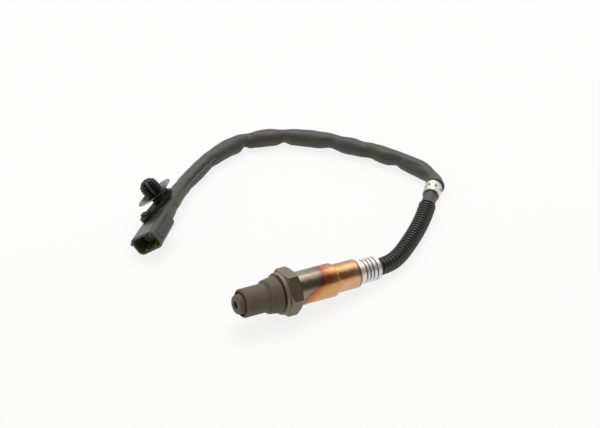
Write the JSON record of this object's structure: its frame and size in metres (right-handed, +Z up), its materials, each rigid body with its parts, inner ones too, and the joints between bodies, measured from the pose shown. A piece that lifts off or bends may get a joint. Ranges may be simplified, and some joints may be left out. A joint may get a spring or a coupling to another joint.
{
  "type": "oxygen sensor",
  "caption": "Heated exhaust oxygen sensor with push-on cap over its thread, corrugated hose, sleeved lead, plug connector and fir-tree retaining clip.",
  "frame": {"origin": "on the surface that the sensor lies on, under the middle of the rigid sensor's bounding box", "axes": "+X along the sensor towards its lead, +Z up, +Y across the sensor towards the side where the lead and connector lie"},
  "size_m": [0.1752, 0.1483, 0.0252],
  "materials": {
    "cap_plastic": "matt",
    "shell_steel": "satin",
    "gasket_steel": "satin",
    "tinted_steel": "heat tinted, satin",
    "bright_steel": "bright",
    "ceramic": "matt",
    "talc": "matt",
    "brass": "satin",
    "grommet_rubber": "matt",
    "hose_plastic": "satin",
    "cuff_plastic": "satin",
    "sleeve_plastic": "satin",
    "connector_plastic": "satin",
    "clip_plastic": "satin",
    "wire_insulation": "satin"
  },
  "bodies": {
    "root": {"transit_cap": "cap_plastic", "sensor_shell": "shell_steel", "seat_gasket": "gasket_steel", "outer_protection_tube": "bright_steel", "inner_protection_tube": "bright_steel", "sensing_element": "ceramic", "front_ceramic_bushing": "ceramic", "talc_seal": "talc", "rear_ceramic_bushing": "ceramic", "press_ring": "bright_steel", "housing_tube": "tinted_steel", "contact_holder": "ceramic", "holder_spring": "bright_steel", "contact_springs": "brass", "lead_wires": "wire_insulation", "cable_grommet": "grommet_rubber", "crimp_shell": "bright_steel", "corrugated_hose": "hose_plastic", "hose_cuff": "cuff_plastic", "cable_ferrule": "bright_steel", "cable_sleeve": "sleeve_plastic", "connector_housing": "connector_plastic", "connector_pins": "brass", "pin_lock": "connector_plastic", "wire_seal": "grommet_rubber", "connector_boot": "connector_plastic", "lead_core": "sleeve_plastic", "retaining_clip": "clip_plastic"}
  },
  "joints": []
}
